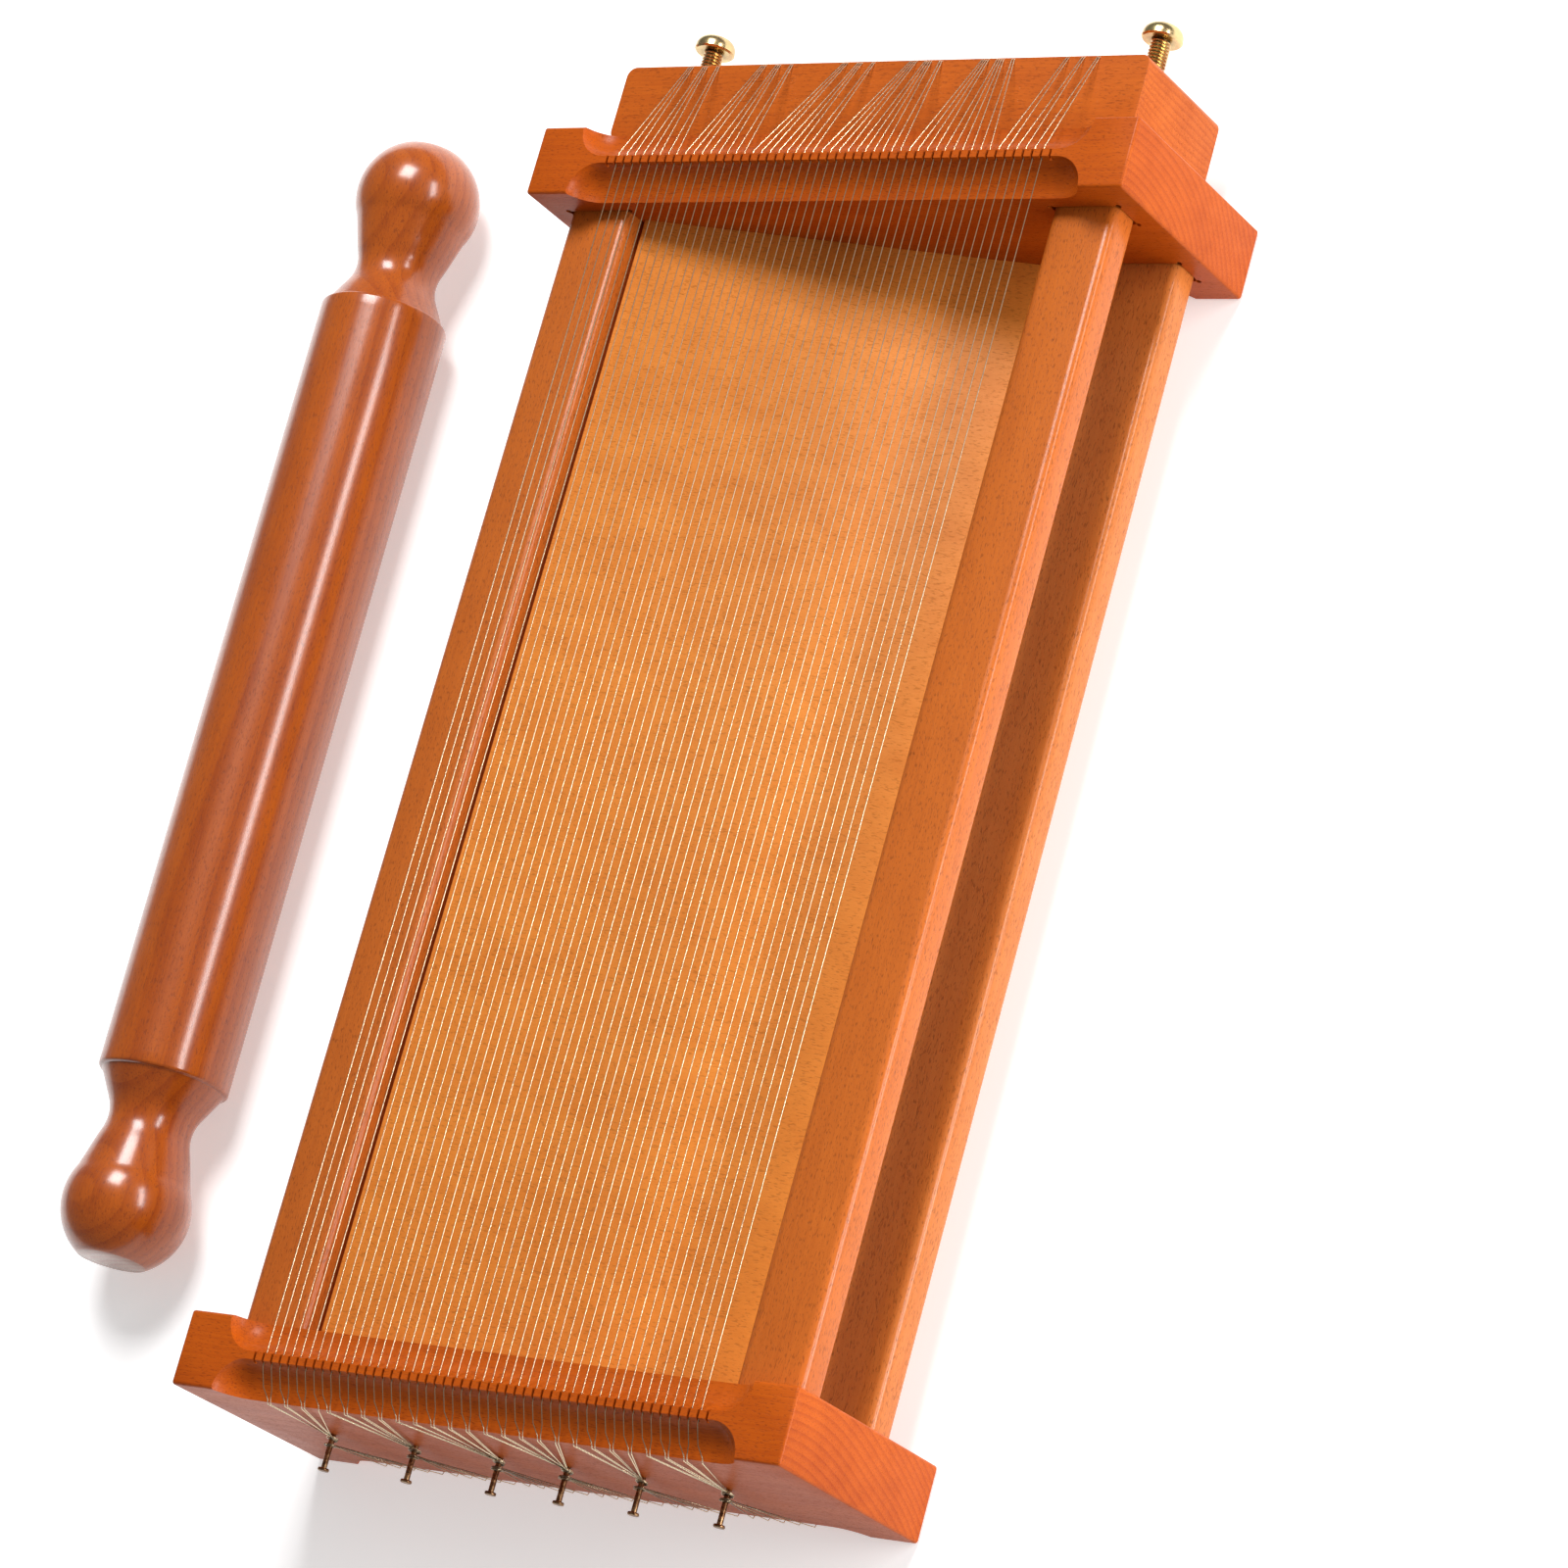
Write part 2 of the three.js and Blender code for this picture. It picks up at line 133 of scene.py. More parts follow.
def soften(piece, crease=35):
    """Shade smooth, but keep a hard edge where faces meet at more than the crease angle."""
    piece.data.polygons.foreach_set("use_smooth", [True] * len(piece.data.polygons))
    piece.data.set_sharp_from_angle(angle=math.radians(crease))
    piece.data.update()


# %% Skin a row of rings
def add_mesh(name, verts, faces, crease=35):
    mesh = bpy.data.meshes.new(name)
    mesh.from_pydata([tuple(v) for v in verts], [], [tuple(f) for f in faces])
    piece = show(name, mesh)
    soften(piece, crease)
    return piece


def skin(rings, start=0):
    """Vertices and faces of a closed tube through rings that all have the same number of points."""
    count = len(rings[0])
    verts = np.concatenate(rings)
    faces = []
    for r in range(len(rings) - 1):
        a, b = start + r * count, start + (r + 1) * count
        faces += [(a + i, a + (i + 1) % count, b + (i + 1) % count, b + i) for i in range(count)]
    faces.append(tuple(start + i for i in reversed(range(count))))
    faces.append(tuple(start + (len(rings) - 1) * count + i for i in range(count)))
    return verts, faces


def join_skins(parts):
    """One list of vertices and faces from several rows of rings."""
    verts, faces = [], []
    for rings in parts:
        part_verts, part_faces = skin(rings, sum(len(v) for v in verts))
        verts.append(part_verts)
        faces += part_faces
    return np.concatenate(verts), faces


# %% Rings about an axis along Y
def turned_rings(profile, x, z, sides, direction=1):
    """profile holds (place along Y, radius) pairs; direction -1 keeps the faces outward when Y falls."""
    angles = np.arange(sides) * 2 * math.pi / sides * -direction
    ring = np.stack([np.cos(angles), np.zeros(sides), np.sin(angles)], 1)
    return [np.array([x, y, z]) + ring * radius for y, radius in profile]


def arc(centre_a, centre_b, radius, start, end, steps):
    """Points of an arc, angles in degrees, as (a, b) pairs."""
    angles = np.radians(np.linspace(start, end, steps))
    return [(centre_a + radius * math.cos(t), centre_b + radius * math.sin(t)) for t in angles]


# %% Boxes with rounded edges, and cutting
def rounded_box(name, low, high, radius, segments=4):
    shape = bmesh.new()
    bmesh.ops.create_cube(shape, size=1)
    size, middle = Vector(high) - Vector(low), (Vector(high) + Vector(low)) / 2
    for vert in shape.verts:
        vert.co = Vector(a * b for a, b in zip(vert.co, size)) + middle
    if radius:
        bmesh.ops.bevel(
            shape, geom=shape.edges[:], offset=radius, segments=segments, profile=0.5, affect="EDGES"
        )
    return show_shape(name, shape)


def join_pieces(name, pieces):
    """One object from several whose solids don't touch each other."""
    shape = bmesh.new()
    for piece in pieces:
        shape.from_mesh(piece.data)
        bpy.data.objects.remove(piece)
    return show_shape(name, shape)


def carve(piece, *tools):
    """Cut each tool out of the piece in turn; a tool may be a list of solids that don't touch."""
    for tool in tools:
        cutter = join_pieces("tool", tool) if isinstance(tool, list) else tool
        cut = piece.modifiers.new("cut", "BOOLEAN")
        cut.operation, cut.solver, cut.object = "DIFFERENCE", "EXACT", cutter
        bpy.context.view_layer.update()
        cut_mesh = bpy.data.meshes.new_from_object(
            piece.evaluated_get(bpy.context.evaluated_depsgraph_get())
        )
        piece.modifiers.clear()
        piece.data = cut_mesh
        bpy.data.objects.remove(cutter)
    soften(piece)
    return piece


# %% [markdown]
# ## Writing finishes as sums
#
# A finish is a small web of shader nodes. Wrapped in a class, a socket can be added to or multiplied by
# another in plain Python, and each sign adds the Math node that does it. Colours can't go through a Math
# node, which would turn them grey, so they are mixed by their own node.

# %% The socket class and the finish class
class Flow:
    """A socket of a finish. Arithmetic on it adds Math nodes."""

    def __init__(self, finish, socket):
        self.finish, self.socket = finish, socket

    def math(self, operation, other=None, first=None):
        sockets = {0: self if first is None else first}
        if other is not None:
            sockets[1] = other
        return self.finish.node("ShaderNodeMath", {"operation": operation}, sockets)

    def __add__(self, other):
        return self.math("ADD", other)

    __radd__ = __add__

    def __mul__(self, other):
        return self.math("MULTIPLY", other)

    __rmul__ = __mul__

    def __sub__(self, other):
        return self.math("SUBTRACT", other)

    def __rsub__(self, other):
        return self.math("SUBTRACT", self, first=other)

    def __truediv__(self, other):
        return self.math("DIVIDE", other)

    def __rtruediv__(self, other):
        return self.math("DIVIDE", self, first=other)

    def __pow__(self, other):
        return self.math("POWER", other)


class Finish:
    """A material and the nodes behind its main shader."""

    def __init__(self, name, **constants):
        self.material = bpy.data.materials.new(name)
        self.material.use_nodes = True
        self.nodes = self.material.node_tree.nodes
        self.links = self.material.node_tree.links
        self.shader = next(n for n in self.nodes if n.type == "BSDF_PRINCIPLED")
        for socket, value in constants.items():
            self.shader.inputs[socket.replace("_", " ")].default_value = value

    def fill(self, socket, value):
        if isinstance(value, Flow):
            self.links.new(value.socket, socket)
        elif value is not None:
            socket.default_value = value

    def node(self, kind, settings=None, sockets=None, out=0):
        made = self.nodes.new(kind)
        for name, value in (settings or {}).items():
            if name == "stops":
                ramp = made.color_ramp
                while len(ramp.elements) < len(value):
                    ramp.elements.new(0.5)
                for stop, (place, colour) in zip(ramp.elements, value):
                    stop.position, stop.color = place, (*colour, 1)
            else:
                setattr(made, name, value)
        for name, value in (sockets or {}).items():
            self.fill(made.inputs[name], value)
        return Flow(self, made.outputs[out])

    def feed(self, **flows):
        for name, value in flows.items():
            self.fill(self.shader.inputs[name.replace("_", " ")], value)

    def place(self):
        """The point on the piece, in metres, in the piece's own frame."""
        return self.node("ShaderNodeTexCoord", out="Object")

    def split(self, vector):
        """The X, Y and Z of a vector, as three flows."""
        parts = self.node("ShaderNodeSeparateXYZ", None, {"Vector": vector})
        return [Flow(self, socket) for socket in parts.socket.node.outputs]

    def stretched(self, point, factors):
        return self.node("ShaderNodeVectorMath", {"operation": "MULTIPLY"}, {0: point, 1: factors})

    def noise(self, point, factors, detail=2, roughness=0.5):
        """Soft noise; factors say how many lumps it has in a metre along X, Y and Z."""
        return self.node(
            "ShaderNodeTexNoise", None,
            {
                "Vector": self.stretched(point, factors), "Scale": 1,
                "Detail": detail, "Roughness": roughness,
            },
        )

    def ramp(self, value, low, high):
        """0 below low, 1 above high, and smooth between them."""
        return self.node(
            "ShaderNodeMapRange", {"interpolation_type": "SMOOTHSTEP"},
            {"Value": value, "From Min": low, "From Max": high},
        )

    def tint(self, share, first, second):
        """The first colour where share is 0 and the second where it is 1."""
        first, second = (c if isinstance(c, Flow) else (*c, 1) for c in (first, second))
        return self.node("ShaderNodeMix", {"data_type": "RGBA"}, {0: share, 6: first, 7: second}, out=2)

    def relief(self, height, depth):
        """Raise the surface by a height of 0 to 1 times the depth in metres."""
        self.feed(Normal=self.node(
            "ShaderNodeBump", None, {"Height": height, "Distance": depth, "Strength": 1}
        ))


def paint(piece, finish, body=None):
    """Give a piece its finish, and let it ride on a body."""
    piece.data.materials.clear()
    piece.data.materials.append(finish.material)
    if body:
        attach(piece, body)
    return piece


# %% [markdown]
# ## Stained beech
#
# Beech has a plain, fine figure: soft growth rings, and short dark flecks all over where the wood's rays
# are cut. The rings are cylinders about the tree's heart, so their pattern is worked out in space: the
# distance to a line beside the piece gives straight lines on its sides and arcs on its end grain. The
# flecks are noise drawn out along the grain. The stain settles in both, under a thin satin lacquer.

# %% A beech finish for any grain direction
def beech(
    name, grain, pale, deep, heart, ring=2.3, ring_share=0.1, end_share=0.4, fleck=0.38, gloss=0.42,
    coat=0.08, coat_rough=0.2, ray=650, end_colour=None,
):
    """grain is the axis along the fibres, 0 to 2; heart is the tree's heart across it, in metres."""
    finish = Finish(name, Coat_Weight=coat, Coat_Roughness=coat_rough, Specular_IOR_Level=0.12)
    point = finish.place()
    across = [axis for i, axis in enumerate(finish.split(point)) if i != grain]
    facing = finish.split(finish.node("ShaderNodeTexCoord", out="Normal"))[grain]
    end_grain = finish.ramp(facing.math("ABSOLUTE"), 0.9, 0.98)

    def along(length_scale, cross_scale):
        return tuple(length_scale if i == grain else cross_scale for i in range(3))

    wander = finish.noise(point, along(4, 24), detail=0)
    ripple = finish.noise(point, along(25, 160), detail=3)
    a = across[0] - heart[0]
    b = across[1] - heart[1]
    radius = (a * a + b * b) ** 0.5 + wander * 0.010 + ripple * 0.00012
    phase = (radius / (ring * MM)).math("FRACT")
    late_wood = finish.ramp(phase, 0.35, 0.93) * (1 - finish.ramp(phase, 0.94, 1.0))
    bands = finish.noise(point, along(3, 45), detail=3)
    fibres = finish.noise(point, along(45, 1500), detail=3, roughness=0.65)
    rays = finish.noise(point, along(ray, ray * 2.5 + 1000), detail=1)
    patches = finish.noise(point, along(60, 160), detail=2)
    flecks = finish.ramp(rays + patches * 0.05, 0.58, 0.72)
    pores = finish.ramp(finish.noise(point, along(150, 3600), detail=1), 0.66, 0.76)

    rings = late_wood * (ring_share + end_grain * (end_share - ring_share))
    share = (bands - 0.5) * 0.9 + (fibres - 0.5) * 0.7 + (patches - 0.5) * 0.5 + rings + 0.3
    wood = finish.tint(share, pale, deep)
    if end_colour:
        wood = finish.tint(end_grain * (0.9 - late_wood * 0.4), wood, end_colour)
    stain = tuple(c * 0.42 for c in deep)
    finish.feed(
        Base_Color=finish.tint(flecks * fleck + pores * 0.25, wood, stain),
        Roughness=gloss + (fibres - 0.5) * 0.16 + flecks * 0.1 + (patches - 0.5) * 0.1 + end_grain * 0.12,
    )
    finish.relief(1 - (flecks * 0.5 + pores * 0.6 + fibres * 0.35), 0.00005)
    return finish


# %% Mix the stains
block_stains = (0.49, 0.090, 0.004), (0.31, 0.041, 0.0015)
near_beech = beech("stained_beech_near_block", 0, *block_stains, (near_low.y - 0.07, 0.06))
far_beech = beech("stained_beech_far_block", 0, *block_stains, (far_low.y - 0.035, 0.062))
bar_beech = beech("stained_beech_bar", 0, (0.52, 0.112, 0.010), (0.34, 0.056, 0.004), (0.9, 0.02), ring=1.7)
rail_beech = beech(
    "stained_beech_rail", 1, (0.53, 0.13, 0.016), (0.37, 0.075, 0.007), (-0.3, 0.25), ring=2.4, fleck=0.5,
    coat=0.4,
)
# A paler copy of the rail finish: painted light, standing in for the bright light on the lower right rail's
# side face.
lit_rail_beech = beech(
    "rail_beech_painted_light", 1, (0.57, 0.175, 0.036), (0.43, 0.105, 0.015), (-0.3, 0.25), ring=2.4, fleck=0.5,
    coat=0.4,
)
board_beech = beech(
    "pale_beech_board", 0, (0.68, 0.225, 0.034), (0.51, 0.14, 0.017), (0.2, -0.9), ring=5,
    fleck=0.34, gloss=0.5, coat=0.03, ray=400,
)
print("wood finishes: 6")

# %% [markdown]
# ## End blocks
#
# Each block is a beech bar on edge. A round-nosed cutter has run along both faces, above and below, and
# has left a thin ridge between two coves with rounded ends. A saw kerf in the ridge holds each wire, with
# one spare at each end. The rails' housings have small round corners, where the router bit has turned.

# %% Tools for the blocks
cove_radius = 10 * MM
cove_depth = 6.6 * MM
cove_half_length = 76.6 * MM
kerf_width = 0.8 * MM
kerf_depth = 1.45 * MM
string_half_spread = 71.5 * MM
top_groups = [7, 8, 10, 10, 8, 7]
bottom_groups = [5, 5, 5, 5, 5, 5]
gap = 0.3 * MM


def spread(groups):
    """Even places for all the wires, in groups."""
    places = list(np.linspace(-string_half_spread, string_half_spread, sum(groups)) + centre.x)
    return [[places.pop(0) for _ in range(count)] for count in groups]


def cove_tool(face_y, top):
    """A long round-nosed cutter: a cylinder along X with a ball at each end."""
    z = mid_z + top * (mid_z - cove_depth + cove_radius)
    ball = arc(cove_half_length, 0, cove_radius, 0, 90, 14)
    half = [(x, max(r, 0.02 * MM)) for x, r in ball]
    profile = [(-x, r) for x, r in half] + [(x, r) for x, r in reversed(half)]
    angles = np.arange(72) * 2 * math.pi / 72
    ring = np.stack([np.zeros(72), np.cos(angles), np.sin(angles)], 1)
    rings = [np.array([centre.x + x, face_y, z]) + ring * r for x, r in profile]
    return add_mesh("cove", *skin(rings))


def kerf_tools(groups, ridge_y, top):
    places = [x for group in spread(groups) for x in group]
    pitch = places[1] - places[0]
    z = mid_z + top * mid_z
    half = Vector((kerf_width / 2, 3.2 * MM, kerf_depth))
    row = [places[0] - pitch, *places, places[-1] + pitch]
    middles = [Vector((x, ridge_y, z)) for x in row]
    return [rounded_box("kerf", middle - half, middle + half, 0) for middle in middles]


def rod_tool(x, z, y0, y1, radius, sides=24):
    return add_mesh("rod", *skin(turned_rings([(y0, radius), (y1, radius)], x, z, sides)))


# %% Cut a block
rail_names = [f"{level}_rail_{side}" for level in ("upper", "lower") for side in ("left", "right")]
block_round = 0.9 * MM
relief_radius = 0.9 * MM


def end_block(name, low, high, inner_sign, finish):
    """inner_sign says on which side along Y the rails come in."""
    piece = rounded_box(name, low, high, block_round)
    ridge = (low.y + high.y) / 2
    housings, corners = [], []
    for rail in rail_names:
        rail_low, rail_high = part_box(rail)
        end_y = (rail_high.y if inner_sign < 0 else rail_low.y) - inner_sign * gap
        open_y = (high.y if inner_sign > 0 else low.y) + inner_sign * MM
        y0, y1 = min(end_y, open_y), max(end_y, open_y)
        x0, x1 = rail_low.x - gap * 0.8, rail_high.x + gap * 0.8
        z0, z1 = rail_low.z - gap * 0.8, rail_high.z + gap * 0.8
        housings.append(rounded_box("housing", (x0, y0, z0), (x1, y1, z1), 0))
        corners += [rod_tool(x, z, y0, y1, relief_radius) for x in (x0, x1) for z in (z0, z1)]
    coves = [cove_tool(y, top) for y in (low.y, high.y) for top in (-1, 1)]
    kerfs = kerf_tools(top_groups, ridge, 1) + kerf_tools(bottom_groups, ridge, -1)
    carve(piece, coves, kerfs, housings, corners)
    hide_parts(name)
    return paint(piece, finish, "frame")


near_block = end_block("nail_end_block", near_low, near_high, 1, near_beech)
far_block = end_block("tension_end_block", far_low, far_high, -1, far_beech)
print("block faces:", len(near_block.data.polygons), len(far_block.data.polygons))

# %% [markdown]
# ## Rails and board
#
# The rails are planed strips with well-rounded edges, so they are boxes with a wide round. The board is
# thin beech, set slanting, and sends the cut strips out to one side. It is drawn as its end outline and
# pushed along the cutter. A narrow rebate runs along its high edge, and its edges are just broken. The
# lower right rail gets a paler copy of the rail finish, as painted light for its brightly lit side.

# %% Make the rails
rail_round = 2.8 * MM
for rail in rail_names:
    low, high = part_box(rail)
    piece = rounded_box(rail + "_wood", low, high, rail_round, 6)
    soften(piece)
    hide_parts(rail)
    # The lower right rail takes the paler copy all over, as painted light.
    paint(piece, lit_rail_beech if rail == "lower_rail_right" else rail_beech, "frame")
print("rails:", len(rail_names))

# %% Make the board
board_thickness = 4.1 * MM
rebate_width = 1.4 * MM
rebate_depth = 3.0 * MM
broken_edge = 0.25 * MM


def prism(name, outline, y0, y1, radius):
    """A closed outline of (x, z) points, counted against the clock seen from -Y, pushed from y0 to y1."""
    shape = bmesh.new()
    near = [shape.verts.new((x, y0, z)) for x, z in outline]
    far = [shape.verts.new((x, y1, z)) for x, z in outline]
    shape.faces.new(near)
    shape.faces.new(list(reversed(far)))
    for i in range(len(outline)):
        j = (i + 1) % len(outline)
        shape.faces.new((near[j], near[i], far[i], far[j]))
    if radius:
        bmesh.ops.bevel(shape, geom=shape.edges[:], offset=radius, segments=3, profile=0.5, affect="EDGES")
    bmesh.ops.recalc_face_normals(shape, faces=shape.faces[:])
    return show_shape(name, shape)


low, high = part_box("slide_board")
left = low.x + rebate_width
top_left = high.z - rebate_width * (high.z - low.z - board_thickness) / (high.x - low.x)
board = prism("slide_board_wood", [
    (low.x, high.z - board_thickness), (high.x, low.z), (high.x, low.z + board_thickness), (left, top_left),
    (left, top_left - rebate_depth), (low.x, top_left - rebate_depth),
], low.y, high.y, broken_edge)
soften(board)
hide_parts("slide_board")
paint(board, board_beech, "frame")
print("board faces:", len(board.data.polygons))

# %% [markdown]
# ## Tension bar
#
# The loose bar has corners rounded in plan, as if each end had been run past a sander. Two stepped holes
# take the screws and their steel nuts, which sit flush in the face towards the block.

# %% Round the bar's corners
bar_corner = 3 * MM
bar = rounded_box("tension_bar_wood", bar_low, bar_high, 0)
corners = bmesh.new()
corners.from_mesh(bar.data)
upright = [e for e in corners.edges if abs((e.verts[0].co - e.verts[1].co).z) > 1 * MM]
bmesh.ops.bevel(corners, geom=upright, offset=bar_corner, segments=8, profile=0.5, affect="EDGES")
rims = [
    e for e in corners.edges
    if abs(e.verts[0].co.z - e.verts[1].co.z) < 0.01 * MM
    and len({round(f.normal.z) for f in e.link_faces}) > 1
]
bmesh.ops.bevel(corners, geom=rims, offset=broken_edge, segments=4, profile=0.5, affect="EDGES")
corners.to_mesh(bar.data)
corners.free()
print("bar corners:", len(upright), "rims:", len(rims))

# %% Drill the bar for the screws and nuts
sides = ("left", "right")
screws = {side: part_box(f"tension_screw_{side}") for side in sides}
screw_at = {side: ((low.x + high.x) / 2, (low.z + high.z) / 2) for side, (low, high) in screws.items()}
insert = {side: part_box(f"threaded_insert_{side}") for side in sides}
shank_radius = 3 * MM
nut_bore = 4.7 * MM
flange_depth = 1.3 * MM


def drill(piece, rods):
    """rods holds lists of (x, z, y0, y1, radius); each list is cut at once."""
    for group in rods:
        carve(piece, [rod_tool(*rod, sides=48) for rod in group])


holes, flanges = [], []
for side in sides:
    x, z = screw_at[side]
    low, high = insert[side]
    holes.append((x, z, bar_low.y - MM, high.y + gap, nut_bore))
    flange_radius = (high.x - low.x) / 2 + 0.1 * MM
    flanges.append((x, z, bar_low.y - MM, bar_low.y + flange_depth, flange_radius))
through = [(*screw_at[side], bar_low.y - MM, bar_high.y + MM, shank_radius + 0.2 * MM) for side in sides]
drill(bar, [holes, flanges, through])
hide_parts("tension_bar")
paint(bar, bar_beech, "tension_bar")
print("bar faces:", len(bar.data.polygons))

# %% Sink the discs' seats into the far block
disc_holes = []
for side in sides:
    low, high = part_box(f"bearing_disc_{side}")
    seat_radius = (high.x - low.x) / 2 + 0.05 * MM
    disc_holes.append((*screw_at[side], low.y - 0.05 * MM, far_face + MM, seat_radius))
drill(far_block, [disc_holes])
paint(far_block, far_beech)
print("disc seats:", len(disc_holes))

# %% [markdown]
# ## Metals
#
# Yellow zinc is a thin coat on bright steel: gold with a faint drift to green and pink, a little rough
# from the bath, with painted shade in the thread's roots. The nails are bronzed, dark and worn brighter on
# their heads. The wire is plain bright steel, and its twist shows as fine slanting bands of painted
# highlight and shade. It is browned at its knots, and painted shade turns it a dull dark brown where it
# bends through the near cove and over its far half.

# %% Yellow zinc for the screws
zinc = Finish("yellow_zinc", Metallic=1.0, IOR=2.0)
point = zinc.place()
drift = zinc.noise(point, (260, 260, 260), detail=2)
grime = zinc.noise(point, (2600, 2600, 2600), detail=3)
# Painted shade: where the surface is hollow, in the thread's roots, the zinc turns dark brown, and the
# crests keep the plated gold.
crest = zinc.ramp(zinc.node("ShaderNodeNewGeometry", out="Pointiness"), 0.42, 0.53)
plated = zinc.tint(zinc.ramp(drift, 0.35, 0.68), (0.70, 0.56, 0.27), (0.60, 0.42, 0.21))
zinc.feed(
    Base_Color=zinc.tint(crest, (0.10, 0.065, 0.025), plated),
    Roughness=0.2 + (grime - 0.5) * 0.22 + drift * 0.08,
)
zinc.relief(grime, 0.00001)
print("finish:", zinc.material.name)

# %% Bronze for the nails
bronze = Finish("bronzed_nail", Metallic=1.0)
point = bronze.place()
wear = bronze.noise(point, (900, 900, 900), detail=3)
bronze.feed(
    Base_Color=bronze.tint(bronze.ramp(wear, 0.42, 0.7), (0.17, 0.085, 0.04), (0.45, 0.28, 0.14)),
    Roughness=0.3 + (wear - 0.5) * 0.3,
)
bronze.relief(wear, 0.00002)
print("finish:", bronze.material.name)

# %% Plain steel for the nuts and discs
steel = Finish("plain_steel", Metallic=1.0)
point = steel.place()
turning = steel.noise(point, (400, 5000, 400), detail=2)
steel.feed(
    Base_Color=steel.tint(turning, (0.55, 0.55, 0.54), (0.7, 0.69, 0.67)),
    Roughness=0.28 + (turning - 0.5) * 0.2,
)
steel.relief(turning, 0.00001)
for side in sides:
    for node in (f"threaded_insert_{side}", f"bearing_disc_{side}"):
        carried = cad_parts[node]
        carried.data.materials.clear()
        carried.data.materials.append(steel.material)
print("finish:", steel.material.name)

# %% Twisted steel for the wires, with painted shade in the near cove and over the far half
twist_pitch = 1.2 * MM
wire_steel = Finish("string_wire", Specular_IOR_Level=0.0)
point = wire_steel.place()
_, along_y, up_z = wire_steel.split(point)
slip = wire_steel.noise(point, (90, 9, 90), detail=1)
# The twist is painted as bands of highlight and shade in the wire's colour, and is also raised a little as
# a bump.
lay = ((along_y / twist_pitch + up_z / twist_pitch + slip * 3) * (2 * math.pi)).math("SINE")
strand = wire_steel.ramp(lay, -0.6, 0.5)
dirt = wire_steel.noise(point, (350, 60, 350), detail=2)
# Painted shade: the wire turns a dull dark brown where it bends through the near cove, and more and more
# from the middle to the far ridge.
cove_shade = wire_steel.ramp(along_y, near_face, near_face + 1.5 * MM)
cove_shade = cove_shade * (1 - wire_steel.ramp(along_y, near_ridge - 1.5 * MM, near_ridge))
in_knot = 1 - wire_steel.ramp(along_y, near_face - 1.5 * MM, near_face - 0.9 * MM)
far_half_shade = wire_steel.ramp(along_y, centre.y - 30 * MM, far_ridge)
far_half_shade = far_half_shade * (1 - wire_steel.ramp(along_y, far_ridge - MM, far_ridge + MM))
# In the painted shade the wire loses its metal shine and its reflection.
painted_shade = cove_shade + far_half_shade
bright = (0.5 + strand * 0.3 + dirt * 0.4) * (1 - painted_shade * 0.92) * (1 - in_knot * 0.7)
wire_steel.feed(
    Metallic=1 - painted_shade * 0.95,
    Base_Color=wire_steel.tint(bright, (0.10, 0.055, 0.028), (0.86, 0.73, 0.50)),
    Roughness=0.36 - strand * 0.1 + (dirt - 0.5) * 0.16,
)
wire_steel.relief(strand, 0.00001)
print("finish:", wire_steel.material.name)

# %% [markdown]
# ## Jack screws
#
# Each is an ordinary metric screw with a smooth domed head and a hexagon socket in its end. The thread is a
# real helix: the radius of every point depends on how far along and how far round it lies, which turns the
# rings into one long spiral ridge.

# %% Cut the thread
thread_pitch = 1.0 * MM
thread_depth = 0.65 * MM
thread_sides = 32


def thread_rings(x, z, y0, y1):
    """Rings whose radius rises and falls once in each pitch, later and later round the ring."""
    steps = int((y1 - y0) / thread_pitch * 10)
    turn = np.arange(thread_sides) / thread_sides
    rings = []
    for step in range(steps + 1):
        y = y0 + (y1 - y0) * step / steps
        phase = (y / thread_pitch + turn) % 1
        radius = shank_radius - thread_depth * np.abs(phase * 2 - 1)
        taper = min(1, 0.72 + 0.28 * (y - y0) / (0.9 * MM))
        angle = -turn * 2 * math.pi
        rings.append(np.stack([
            x + np.cos(angle) * radius * taper, np.full(thread_sides, y), z + np.sin(angle) * radius * taper
        ], 1))
    return rings


# %% Make the screws
socket_radius = 2.3 * MM
socket_depth = 3 * MM
head_height = 4.6 * MM
head_rim = 1.3 * MM
crown_narrow = 3 * MM
neck_radius = 2.2 * MM
for side in sides:
    x, z = screw_at[side]
    low, high = screws[side]
    head_radius = (high.x - low.x) / 2
    seat = high.y - head_height
    dome = (head_height - head_rim) * 0.985
    head_profile = [(seat - MM, neck_radius), (seat, neck_radius), (seat, head_radius - 0.5 * MM)]
    head_profile += [(seat + 0.5 * MM, head_radius)]
    for step in range(9):
        angle = math.radians(step * 9)
        head_profile.append((
            seat + head_rim + dome * math.sin(angle), head_radius - crown_narrow * (1 - math.cos(angle))
        ))
    head_profile.append((high.y, head_profile[-1][1] - 0.5 * MM))
    head = add_mesh(f"tension_screw_{side}_zinc", *skin(turned_rings(head_profile, x, z, 64)))
    key_hole = rod_tool(x, z, high.y - socket_depth, high.y + MM, socket_radius, 6)
    carve(head, key_hole)
    thread = add_mesh("thread", *skin(thread_rings(x, z, low.y, seat - 0.2 * MM)))
    screw = join_pieces(f"tension_screw_{side}_metal", [head, thread])
    soften(screw, 40)
    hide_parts(f"tension_screw_{side}")
    paint(screw, zinc, f"screw_{side}")
    print(screw.name, "faces:", len(screw.data.polygons))

# %% [markdown]
# ## Nails
#
# The nails are thin round ones with small flat heads, driven straight and left standing about ten
# millimetres out. They are turned, with a slightly domed head and a soft edge round it.

# %% Make the nails
nail_radius = 0.8 * MM
head_thickness = 0.8 * MM
nail_head_radius = 1.6 * MM


